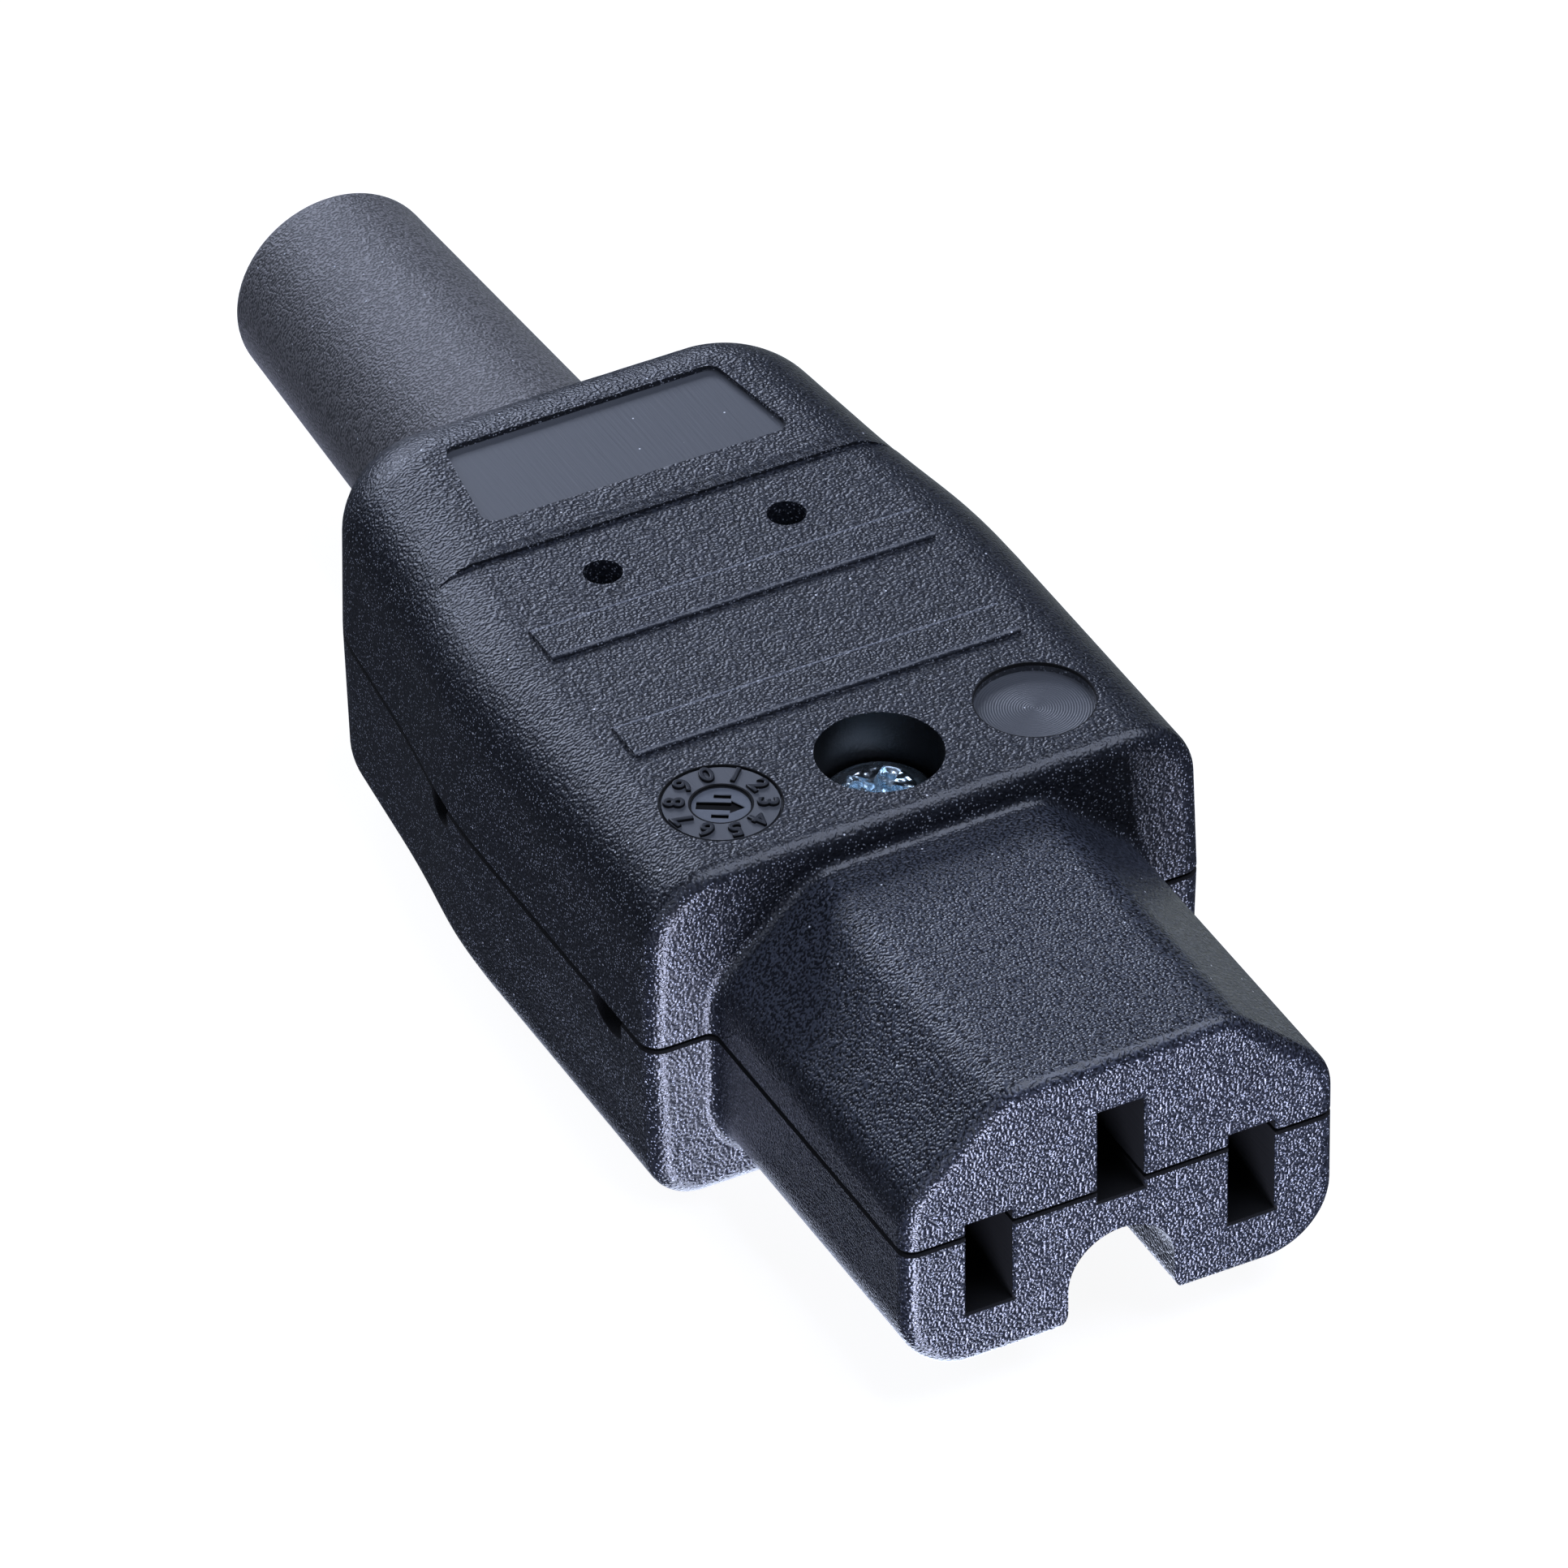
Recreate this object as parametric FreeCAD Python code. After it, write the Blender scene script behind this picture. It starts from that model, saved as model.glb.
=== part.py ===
import FreeCAD, Part
import math
import os

# Rewireable three-pole cord connector for a hot-condition appliance inlet.
# Two moulded shells meet on the parting plane and are closed by one screw. They hold three folded
# brass sockets with screw terminals, a cord clamp and the root of a rubber bend-relief sleeve.
# Millimetres. The origin is the centre of the mating face on the parting plane.
# X runs to the right seen from the front, Y back towards the cord, Z up on the earth side.

V = FreeCAD.Vector

# Mating nose
nose_width = 23.0
nose_rise = 7.65
nose_drop = 7.8
nose_length = 19.2
nose_bevel_width = 5.4
nose_bevel_height = 4.95
nose_bevel_low_r = 3.0
nose_bevel_high_r = 2.6
nose_base_r = 3.7
nose_edge_r = 0.8
nose_root_r = 0.55
key_groove_width = 5.7
key_groove_depth = 5.2
key_mouth_r = 1.2

# Blade slots
pin_pitch = 14.0
pin_offset = 2.0
slot_width = 2.5
slot_height = 5.3
slot_lead = 0.12
face_wall = 5.0

# Body
body_width = 30.0
body_rise = 9.35
body_drop = 9.7
body_length = 40.6
waist_run = 13.5
waist_to_rear = 10.3
waist_width = 27.3
rear_width = 25.2
rear_corner_r = 5.8
upper_edge_r = 3.7
lower_edge_r = 2.7
body_front_r = 1.0
draft_deg = 2.0
wall = 2.0
rear_wall = 3.0
bulkhead = 2.0
parting_gap = 0.24
rim_chamfer = 0.12

# Top of the upper shell
step_to_rear = 13.4
rear_rise = 0.3
rear_edge_r = 4.25
step_bevel_run = 0.6
step_bevel_drop = 0.12
bar_width = 20.8
bar_rise = 0.24
bar_span = 2.5
bar_edge_r = 0.2
front_bar_run = 9.9
rear_bar_to_clamp = 5.2
plate_to_rear = 4.5
plate_length = 6.5
plate_front_width = 16.8
plate_rear_width = 14.8
plate_corner_r = 0.7
plate_depth = 0.3
dial_x = 8.43
dial_run = 4.9
dial_r = 2.95
dial_sink = 0.06
dial_gap = 0.12
dial_gap_depth = 0.35
dial_hub_r = 1.48
dial_hub_depth = 0.42
blank_depth = 0.5

# Rim notches of the lower shell
front_notch_length = 3.2
rear_notch_length = 2.2
notch_depth = 1.05
notch_belly = 1.3
front_notch_run = 2.9
rear_notch_to_clamp = 2.2

# Tongue of the upper shell inside the lower rim
tongue_thick = 0.7
tongue_depth = 1.6
tongue_root = 1.2
tongue_to_rear = 7.8

# Housing screw, its counterbore and its pillar
screw_run = 4.8
counterbore_r = 3.15
screw_head_r = 2.85
screw_head_height = 2.0
screw_seat_z = 5.2
screw_floor = 2.0
screw_r = 1.45
screw_length = 10.7
screw_turn_deg = 42.0
boss_wall = 1.5
pillar_r = 3.2

# Form of every screw head and its cross recess, as shares of the head's radius or height
head_rim = 0.68
head_flat = 0.5
head_bulge_r = 0.84
head_bulge_rise = 0.6
recess_reach = 0.72
recess_arm = 0.19
recess_floor = 0.35
recess_taper = 0.55
shank_point = 0.6

# Sockets and terminals, all folded from one strip
sheet = 0.6
bend_r = 0.8
socket_height = 4.2
socket_mouth = 3.0
socket_pinch = 1.7
socket_rear = 2.3
socket_pinch_run = 2.6
socket_length = 10.5
channel_width = 4.4
channel_height = 5.7
terminal_x = 9.1
terminal_run = 4.1
tab_half = 3.2
tail_gap = 0.5
tab_low_z = 0.2
line_tail_x = 6.3
line_tail_drop = 1.9
earth_tail_height = 1.9
collar_r = 2.1
collar_height = 1.0
terminal_screw_r = 1.45
terminal_head_r = 2.6
terminal_head_height = 1.8
terminal_screw_length = 4.6
plate_side = 5.2
plate_thick = 0.6
post_wall = 0.6
post_bore_depth = 4.0
barrier_thick = 0.9

# Cord clamp
clamp_to_rear = 16.8
clamp_screw_gap = 0.52
pilot_r = 0.98
cradle_width = 16.4
cradle_thick = 4.8
cradle_lip_z = 0.8
bar_length = 15.6
bar_thick = 2.4
bar_depth = 4.0
bar_corner_r = 1.8
bar_saddle_depth = 1.2
clamp_head_r = 2.4
clamp_head_height = 1.7
clamp_screw_length = 9.0

# Bend-relief sleeve
sleeve_axis_z = -0.5
sleeve_root_r = 6.4
sleeve_end_r = 5.45
sleeve_length = 23.7
sleeve_end_round = 1.0
sleeve_lip_round = 0.4
sleeve_flange_round = 0.5
sleeve_flange_thick = 2.0
sleeve_neck_r = 5.2
cord_bore_r = 3.5

# Clearances
hair = 0.01
close = 0.05
fit = 0.1
running = 0.3
overlap = 0.5

# Worked out from the sizes above
body_rear = nose_length + body_length
body_height = body_rise + body_drop
cavity_front = nose_length + bulkhead
cavity_rear = body_rear - rear_wall
ceiling = body_rise - wall
floor = body_drop - wall
waist_end = body_rear - waist_to_rear
waist_start = waist_end - waist_run
step_y = body_rear - step_to_rear
plate_rear_y = body_rear - plate_to_rear
plate_front_y = plate_rear_y - plate_length
dial_y = nose_length + dial_run
screw_y = nose_length + screw_run
clamp_y = body_rear - clamp_to_rear
front_bar_y = nose_length + front_bar_run
rear_bar_y = clamp_y - rear_bar_to_clamp
front_notch_y = nose_length + front_notch_run
rear_notch_y = clamp_y - rear_notch_to_clamp
sleeve_end_y = body_rear + sleeve_length
sleeve_flange_r = min(ceiling - sleeve_axis_z, floor + sleeve_axis_z) - running
clamp_pitch = 2 * (cord_bore_r + pilot_r + clamp_screw_gap)
terminal_y = cavity_front + terminal_run
tab_top_z = tab_low_z + sheet
boss_r = counterbore_r + boss_wall
boss_low_z = screw_seat_z - screw_floor
socket_front = face_wall + running
socket_back = socket_front + socket_length
earth_terminal_y = screw_y + boss_r + tab_half + tail_gap
earth_tail_x = pillar_r + tail_gap
post_bore_r = collar_r + fit
post_r = post_bore_r + post_wall
cradle_groove_r = cord_bore_r + fit
quarters = ((-1, -1), (1, -1), (1, 1), (-1, 1))


def in_plan(z):
    """Places a drawn point on the level plane at height z."""
    return lambda p: V(p.x, p.y, z)


def in_section(y):
    """Places a drawn point on the cross section at y."""
    return lambda p: V(p.x, y, p.y)


def box(x0, x1, y0, y1, z0, z1):
    return Part.makeBox(x1 - x0, y1 - y0, z1 - z0, V(x0, y0, z0))


def rod(radius, x, y, z0, z1):
    """Upright cylinder."""
    return Part.makeCylinder(radius, z1 - z0, V(x, y, z0))


def along_cord(radius, y0, y1):
    """Cylinder on the cord's axis."""
    return Part.makeCylinder(radius, y1 - y0, V(0, y0, sleeve_axis_z), V(0, 1, 0))


def mirrored(shape):
    """The other hand, across the middle plane."""
    return shape.mirror(V(0, 0, 0), V(1, 0, 0))


def corner_arc(before, here, after, radius):
    """Start, crown and end of the arc that rounds a corner."""
    to_before = (before - here).normalize()
    to_after = (after - here).normalize()
    half_angle = to_before.getAngle(to_after) / 2
    reach = radius / math.tan(half_angle)
    inward = (to_before + to_after).normalize()
    crown = here + inward * (radius / math.sin(half_angle) - radius)
    return here + to_before * reach, crown, here + to_after * reach


def rounded_face(corners, place):
    """Face inside an outline of corners (u, v, radius), put in space by place."""
    points = [V(u, v, 0) for u, v, radius in corners]
    stops = []
    for i, (u, v, radius) in enumerate(corners):
        if radius == 0:
            stops.append((points[i], None, points[i]))
        else:
            following = points[(i + 1) % len(points)]
            stops.append(corner_arc(points[i - 1], points[i], following, radius))
    edges = []
    for i, (start, crown, end) in enumerate(stops):
        if crown is not None:
            edges.append(Part.Arc(place(start), place(crown), place(end)).toShape())
        following = stops[(i + 1) % len(stops)][0]
        if end.distanceToPoint(following) > 1e-4:
            edges.append(Part.makeLine(place(end), place(following)))
    return Part.Face(Part.Wire(edges))


def edges_where(shape, test):
    """Edges whose end points all pass the test."""
    return [edge for edge in shape.Edges if all(test(vertex.Point) for vertex in edge.Vertexes)]


def near(a, b):
    return abs(a - b) < 1e-3


def plan_side(hand, inset, z, front, rear):
    """Edges of one side of the body's plan, from the front wall to the rear wall."""
    half = body_width / 2 - inset
    waist = waist_width / 2 - inset
    taper = (rear_width - waist_width) / 2 / (body_rear - waist_end)
    handle = (waist_end - waist_start) / 2
    tail = waist + taper * (rear - waist_end)
    corner_r = max(rear_corner_r - inset, wall / 2)
    bend = Part.BezierCurve()
    bend.setPoles([
        V(hand * half, waist_start, z),
        V(hand * half, waist_start + handle, z),
        V(hand * (waist - taper * handle), waist_end - handle, z),
        V(hand * waist, waist_end, z),
    ])
    corner = V(hand * tail, rear, z)
    start, crown, end = corner_arc(V(hand * waist, waist_end, z), corner, V(0, rear, z), corner_r)
    edges = [
        Part.makeLine(V(hand * half, front, z), V(hand * half, waist_start, z)),
        bend.toShape(),
        Part.makeLine(V(hand * waist, waist_end, z), start),
        Part.Arc(start, crown, end).toShape(),
    ]
    return edges, end


def plan_wire(inset, z, front, rear):
    """Outline of the body seen from above, drawn in by inset."""
    right, right_end = plan_side(1, inset, z, front, rear)
    left, left_end = plan_side(-1, inset, z, front, rear)
    half = body_width / 2 - inset
    front_edge = Part.makeLine(V(-half, front, z), V(half, front, z))
    rear_edge = Part.makeLine(right_end, left_end)
    return Part.Wire([front_edge] + right + [rear_edge] + left[::-1])


def drafted_block(inset, top, front, rear):
    """Half of the body's bulk, leaning in with the mould's draft from the parting plane up."""
    lean = top * math.tan(math.radians(draft_deg))
    base = plan_wire(inset, 0, front, rear)
    crown = plan_wire(inset + lean, top, front, rear)
    return Part.makeLoft([base, crown], True, True)


def round_rim(block, top, front, radius):
    """Rounds the upper edge along both sides and the rear."""
    rim = edges_where(block, lambda p: near(p.z, top))
    rim = [edge for edge in rim if not all(near(vertex.Y, front) for vertex in edge.Vertexes)]
    return block.makeFillet(radius, rim)


def half_body(top, edge_r):
    """Half of the body, rounded along the sides and the rear, still sharp at the front wall."""
    block = drafted_block(0, top, nose_length, body_rear)
    return round_rim(block, top, nose_length, edge_r)


def with_front_round(body):
    """Rounds the outline of the front wall."""
    outline = edges_where(body, lambda p: near(p.y, nose_length))
    outline = [edge for edge in outline if not all(near(vertex.Z, 0) for vertex in edge.Vertexes)]
    return body.makeFillet(body_front_r, outline)


def nose_half(corners):
    """Half of the nose as a prism, its front edge rounded and its back sunk in the body."""
    face = rounded_face(corners, in_section(0))
    prism = face.extrude(V(0, nose_length + overlap, 0))
    rim = edges_where(prism, lambda p: near(p.y, 0))
    rim = [edge for edge in rim if not all(near(vertex.Z, 0) for vertex in edge.Vertexes)]
    return prism.makeFillet(nose_edge_r, rim)


def upper_nose():
    """Bevelled half on the earth side."""
    side = nose_width / 2
    top = nose_rise
    shoulder = top - nose_bevel_height
    flat = side - nose_bevel_width
    return nose_half([
        (-side, 0, 0),
        (-side, shoulder, nose_bevel_low_r),
        (-flat, top, nose_bevel_high_r),
        (flat, top, nose_bevel_high_r),
        (side, shoulder, nose_bevel_low_r),
        (side, 0, 0),
    ])


def lower_nose():
    """Half with the key groove, drawn with its outside upwards."""
    side = nose_width / 2
    nose = nose_half([
        (-side, 0, 0),
        (-side, nose_drop, nose_base_r),
        (side, nose_drop, nose_base_r),
        (side, 0, 0),
    ])
    return nose.cut(key_groove())


def key_groove():
    """Round-topped groove along the nose, its mouth opened out by a small round on each lip."""
    half = key_groove_width / 2
    top = nose_drop - key_groove_depth
    crown_r = half - hair
    lip = half + key_mouth_r + overlap
    face = rounded_face([
        (-lip, nose_drop + overlap, 0),
        (-lip, nose_drop, 0),
        (-half, nose_drop, key_mouth_r),
        (-half, top, crown_r),
        (half, top, crown_r),
        (half, nose_drop, key_mouth_r),
        (lip, nose_drop, 0),
        (lip, nose_drop + overlap, 0),
    ], in_section(-overlap))
    return face.extrude(V(0, nose_length + 2 * overlap, 0))


def join_nose(body, nose, nose_top):
    """Joins the nose to the front wall with a small concave round at its root."""
    whole = body.fuse(nose).removeSplitter()
    reach_x = nose_width / 2 + fit
    reach_z = nose_top + fit
    root = edges_where(whole, lambda p: near(p.y, nose_length) and abs(p.x) < reach_x and p.z < reach_z)
    root = [edge for edge in root if not all(near(vertex.Z, 0) for vertex in edge.Vertexes)]
    whole = whole.makeFillet(nose_root_r, root)
    below = box(-body_width, body_width, -overlap, sleeve_end_y, -overlap, parting_gap / 2)
    return whole.cut(below)


def upper_outside():
    """Outer form of the upper shell, its higher rear panel fading into the rounded sides."""
    front = half_body(body_rise, upper_edge_r)
    front = front.common(box(-body_width, body_width, 0, step_y, 0, body_height))
    rear = half_body(body_rise + rear_rise, rear_edge_r)
    rear = rear.common(box(-body_width, body_width, step_y, sleeve_end_y, 0, body_height))
    rear = rear.cut(step_bevel())
    body = with_front_round(front.fuse(rear).removeSplitter())
    return join_nose(body, upper_nose(), nose_rise)


def step_bevel():
    """Thin wedge taken off the front edge of the rear panel."""
    top = body_rise + rear_rise
    slope = step_bevel_drop / step_bevel_run
    front = step_y - overlap
    back = step_y + step_bevel_run
    low = top - step_bevel_drop - slope * overlap
    outline = [(front, low), (back, top), (back, top + overlap), (front, top + overlap)]
    loop = [V(-body_width, y, z) for y, z in outline]
    return Part.Face(Part.makePolygon(loop + loop[:1])).extrude(V(2 * body_width, 0, 0))


def lower_outside():
    """Outer form of the lower shell."""
    outside = join_nose(with_front_round(half_body(body_drop, lower_edge_r)), lower_nose(), nose_drop)
    rim = edges_where(outside, lambda p: near(p.z, parting_gap / 2))
    outside = outside.makeChamfer(rim_chamfer, rim)
    return outside.mirror(V(0, 0, 0), V(0, 0, 1))


def half_cavity(top):
    """Room for the terminals and the cord, from the parting plane up to the given height."""
    return drafted_block(wall, top, cavity_front, cavity_rear)


def pins():
    """Centre of each blade: name, x and z."""
    half = pin_pitch / 2
    return (("live", half, -pin_offset), ("neutral", -half, -pin_offset), ("earth", 0, pin_offset))


def mating_cuts():
    """Blade slots in the front wall and the socket channels behind them."""
    cuts = []
    for name, x, z in pins():
        for width, height, front, back in (
            (slot_width, slot_height, -overlap, face_wall + overlap),
            (channel_width, channel_height, face_wall, cavity_front + overlap),
        ):
            half_w = width / 2
            half_h = height / 2
            cuts.append(box(x - half_w, x + half_w, front, back, z - half_h, z + half_h))
        cuts.append(slot_mouth(x, z))
    return cuts


def slot_mouth(x, z):
    """Bevelled mouth that leads a blade into its slot."""
    loops = []
    for y in (-slot_lead, slot_lead):
        grow = slot_lead - y
        half_w = slot_width / 2 + grow
        half_h = slot_height / 2 + grow
        corners = [V(x + i * half_w, y, z + j * half_h) for i, j in quarters]
        loops.append(Part.makePolygon(corners + corners[:1]))
    return Part.makeLoft(loops, True, True)


def tail_pockets():
    """Room in the upper bulkhead for the tails that run back to the terminals."""
    front = socket_back - running
    back = cavity_front + overlap
    pockets = []
    for hand in (-1, 1):
        middle = hand * pin_pitch / 2
        half = channel_width / 2
        pockets.append(box(middle - half, middle + half, front, back, -overlap, tab_top_z + running))
    earth_side = earth_tail_x + sheet + running
    earth_top = tab_low_z + earth_tail_height + fit
    pockets.append(box(-channel_width / 2, earth_side, front, back, -overlap, earth_top))
    return pockets


def terminals():
    """Place of each terminal: name, x and y."""
    return (
        ("live", terminal_x, terminal_y),
        ("neutral", -terminal_x, terminal_y),
        ("earth", 0, earth_terminal_y),
    )


def upper_inside():
    """Screw boss, terminal posts, barriers and clamp cradle under the ceiling."""
    top = ceiling + overlap
    pieces = [rod(boss_r, 0, screw_y, boss_low_z, top)]
    for name, x, y in terminals():
        pieces.append(rod(post_r, x, y, tab_top_z, top))
    barrier_end = screw_y + boss_r
    for hand in (-1, 1):
        inner = hand * (boss_r - fit)
        outer = hand * (boss_r - fit + barrier_thick)
        low_z = tab_low_z + fit
        pieces.append(box(min(inner, outer), max(inner, outer), nose_length, barrier_end, low_z, top))
    half = cradle_width / 2
    front = clamp_y - cradle_thick / 2
    back = clamp_y + cradle_thick / 2
    cradle = box(-half, half, front, back, cradle_lip_z, top)
    pieces.append(cradle.cut(along_cord(cradle_groove_r, front - overlap, back + overlap)))
    return pieces


def tongue():
    """Lip that hangs inside the lower shell's side walls and closes the joint."""
    pieces = []
    for outer, low, high in (
        (wall - overlap, parting_gap / 2, tongue_root),
        (wall + fit, -tongue_depth, tongue_root),
    ):
        inner = wall + fit + tongue_thick
        rise = V(0, 0, high - low)
        solid = Part.Face(plan_wire(outer, low, cavity_front, cavity_rear)).extrude(rise)
        core = Part.Face(plan_wire(inner, low, cavity_front, cavity_rear)).extrude(rise)
        pieces.append(solid.cut(core))
    ring = pieces[0].fuse(pieces[1])
    front = cavity_front + fit
    rear = body_rear - tongue_to_rear
    return ring.common(box(-body_width, body_width, front, rear, -body_height, body_height))


def upper_holes():
    """Counterbore and hole of the housing screw, terminal and clamp screw holes."""
    above = body_rise + rear_rise + overlap
    holes = [
        rod(counterbore_r, 0, screw_y, screw_seat_z, above),
        rod(screw_r + running, 0, screw_y, boss_low_z - overlap, above),
    ]
    for name, x, y in terminals():
        holes.append(rod(post_bore_r, x, y, tab_top_z - overlap, tab_top_z + post_bore_depth))
    for hand in (-1, 1):
        holes.append(rod(pilot_r, hand * clamp_pitch / 2, clamp_y, cradle_lip_z - overlap, above))
    return holes


def plate_recess():
    """Shallow tapered recess on the rear panel."""
    plate_z = body_rise + rear_rise - plate_depth
    front = plate_front_width / 2
    rear = plate_rear_width / 2
    face = rounded_face([
        (-front, plate_front_y, plate_corner_r),
        (front, plate_front_y, plate_corner_r),
        (rear, plate_rear_y, plate_corner_r),
        (-rear, plate_rear_y, plate_corner_r),
    ], in_plan(plate_z))
    return face.extrude(V(0, 0, plate_depth + overlap))


def dial_marks():
    """Marks of two round mould inserts: a dial in a ring gap with a sunk hub, and a blank recess."""
    above = body_rise + overlap
    gap_z = body_rise - dial_gap_depth
    pocket = rod(dial_r, -dial_x, dial_y, gap_z, above)
    face = rod(dial_r - dial_gap, -dial_x, dial_y, gap_z - overlap, body_rise - dial_sink)
    hub = rod(dial_hub_r, -dial_x, dial_y, body_rise - dial_hub_depth, above)
    blank = rod(dial_r, dial_x, dial_y, body_rise - blank_depth, above)
    return [pocket.cut(face), hub, blank]


def grip_bar(y):
    """Low raised bar across the top, its two long edges rounded."""
    half = bar_width / 2
    top = body_rise + bar_rise
    bar = box(-half, half, y, y + bar_span, body_rise - overlap, top)
    rim = edges_where(bar, lambda p: near(p.z, top))
    rim = [edge for edge in rim if near(edge.Vertexes[0].Y, edge.Vertexes[1].Y)]
    return bar.makeFillet(bar_edge_r, rim)


def upper_shell():
    shell = upper_outside().cut(half_cavity(ceiling))
    shell = shell.fuse(upper_inside() + [tongue(), grip_bar(front_bar_y), grip_bar(rear_bar_y)])
    cuts = mating_cuts() + tail_pockets() + upper_holes() + dial_marks() + [plate_recess()]
    cuts.append(along_cord(sleeve_neck_r + fit, cavity_rear - overlap, body_rear + overlap))
    return shell.cut(cuts).removeSplitter()


def lower_shell():
    shell = lower_outside().cut(half_cavity(floor).mirror(V(0, 0, 0), V(0, 0, 1)))
    shell = shell.fuse(rod(pillar_r, 0, screw_y, -floor - overlap, boss_low_z))
    cuts = mating_cuts()
    cuts.append(rod(screw_r + fit, 0, screw_y, screw_seat_z - screw_length - overlap, boss_low_z + overlap))
    cuts.append(along_cord(sleeve_neck_r + fit, cavity_rear - overlap, body_rear + overlap))
    cuts.append(rim_notch(front_notch_y, front_notch_length))
    cuts.append(rim_notch(rear_notch_y, rear_notch_length))
    return shell.cut(cuts).removeSplitter()


def rim_notch(y, length):
    """Prying notch through both side walls: upright at the front, bellied, curving up to the rear."""
    x = -body_width
    low = V(x, y, -notch_depth)
    rear = V(x, y + length, 0)
    belly = V(x, y + length / 2, -notch_belly)
    edges = [
        Part.Arc(low, belly, rear).toShape(),
        Part.makeLine(rear, V(x, y, 0)),
        Part.makeLine(V(x, y, 0), low),
    ]
    return Part.Face(Part.Wire(edges)).extrude(V(2 * body_width, 0, 0))


def cable_sleeve():
    """Tapered rubber tube with a neck for the shells' rear wall and a flange inside it."""
    flange_back = cavity_rear - fit
    flange_front = flange_back - sleeve_flange_thick
    shoulder = body_rear + fit
    face = rounded_face([
        (cord_bore_r, flange_front, 0),
        (sleeve_flange_r, flange_front, sleeve_flange_round),
        (sleeve_flange_r, flange_back, 0),
        (sleeve_neck_r, flange_back, 0),
        (sleeve_neck_r, shoulder, 0),
        (sleeve_root_r, shoulder, 0),
        (sleeve_end_r, sleeve_end_y, sleeve_end_round),
        (cord_bore_r, sleeve_end_y, sleeve_lip_round),
    ], lambda p: V(p.x, p.y, sleeve_axis_z))
    return face.revolve(V(0, 0, sleeve_axis_z), V(0, 1, 0), 360)


def pan_screw(head_r, head_height, shank_r, length):
    """Pan-head screw with a cross recess, seated at the origin with its head up."""
    rim = head_height * head_rim
    point = shank_r * shank_point
    flat = head_r * head_flat
    bulge = V(head_r * head_bulge_r, 0, rim + (head_height - rim) * head_bulge_rise)
    outline = [
        Part.makeLine(V(0, 0, head_height), V(0, 0, -length)),
        Part.makeLine(V(0, 0, -length), V(shank_r - point, 0, -length)),
        Part.makeLine(V(shank_r - point, 0, -length), V(shank_r, 0, point - length)),
        Part.makeLine(V(shank_r, 0, point - length), V(shank_r, 0, 0)),
        Part.makeLine(V(shank_r, 0, 0), V(head_r, 0, 0)),
        Part.makeLine(V(head_r, 0, 0), V(head_r, 0, rim)),
        Part.Arc(V(head_r, 0, rim), bulge, V(flat, 0, head_height)).toShape(),
        Part.makeLine(V(flat, 0, head_height), V(0, 0, head_height)),
    ]
    screw = Part.Face(Part.Wire(outline)).revolve(V(0, 0, 0), V(0, 0, 1), 360)
    return screw.cut(cross_recess(head_r, head_height))


def cross_recess(head_r, head_height):
    """Cross-shaped driver recess, tapering down from the head's top."""
    reach = head_r * recess_reach
    half = head_r * recess_arm
    foot_z = head_height * recess_floor
    top = head_height + overlap
    arms = []
    for length, width in ((reach, half), (half, reach)):
        mouth = [V(i * length, j * width, top) for i, j in quarters]
        foot = [V(p.x * recess_taper, p.y * recess_taper, foot_z) for p in mouth]
        loop_top = Part.makePolygon(mouth + mouth[:1])
        loop_foot = Part.makePolygon(foot + foot[:1])
        arms.append(Part.makeLoft([loop_top, loop_foot], True, True))
    return arms


def head_down(screw, x, y, z):
    """A screw driven upwards, its seat at the given place."""
    screw.rotate(V(0, 0, 0), V(1, 0, 0), 180)
    screw.translate(V(x, y, z))
    return screw


def housing_screw():
    screw = pan_screw(screw_head_r, screw_head_height, screw_r, screw_length)
    screw.rotate(V(0, 0, 0), V(0, 0, 1), screw_turn_deg)
    screw.translate(V(0, screw_y, screw_seat_z))
    return screw


def terminal_screw(x, y):
    screw = pan_screw(terminal_head_r, terminal_head_height, terminal_screw_r, terminal_screw_length)
    return head_down(screw, x, y, tab_low_z - plate_thick)


def clamp_screw(hand):
    screw = pan_screw(clamp_head_r, clamp_head_height, pilot_r - close, clamp_screw_length)
    return head_down(screw, hand * clamp_pitch / 2, clamp_y, cradle_lip_z - bar_thick)


def socket_leaf(hand):
    """Spring leaf on one side of the blade: flared mouth, pinch, then straight to the web."""
    stations = (
        (socket_mouth, socket_front),
        (socket_pinch, socket_front + socket_pinch_run),
        (socket_rear, socket_back - sheet),
    )
    inner_points = [V(hand * gap / 2, y, 0) for gap, y in stations]
    outer_points = [point + V(hand * sheet, 0, 0) for point in inner_points]
    inner = Part.BSplineCurve()
    inner.interpolate(inner_points)
    outer = Part.BSplineCurve()
    outer.interpolate(outer_points)
    edges = [
        inner.toShape(),
        Part.makeLine(inner_points[-1], outer_points[-1]),
        outer.toShape(),
        Part.makeLine(outer_points[0], inner_points[0]),
    ]
    return Part.Face(Part.Wire(edges)).extrude(V(0, 0, socket_height))


def socket(x, z):
    """Two spring leaves joined by a web at the back."""
    half = socket_rear / 2 + sheet
    inside = socket_back - sheet
    web = rounded_face([
        (-half, inside, 0),
        (half, inside, 0),
        (half, socket_back, sheet - hair),
        (-half, socket_back, sheet - hair),
    ], in_plan(0)).extrude(V(0, 0, socket_height))
    folded = web.fuse([socket_leaf(-1), socket_leaf(1)])
    folded.translate(V(x, 0, z - socket_height / 2))
    return folded


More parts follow.
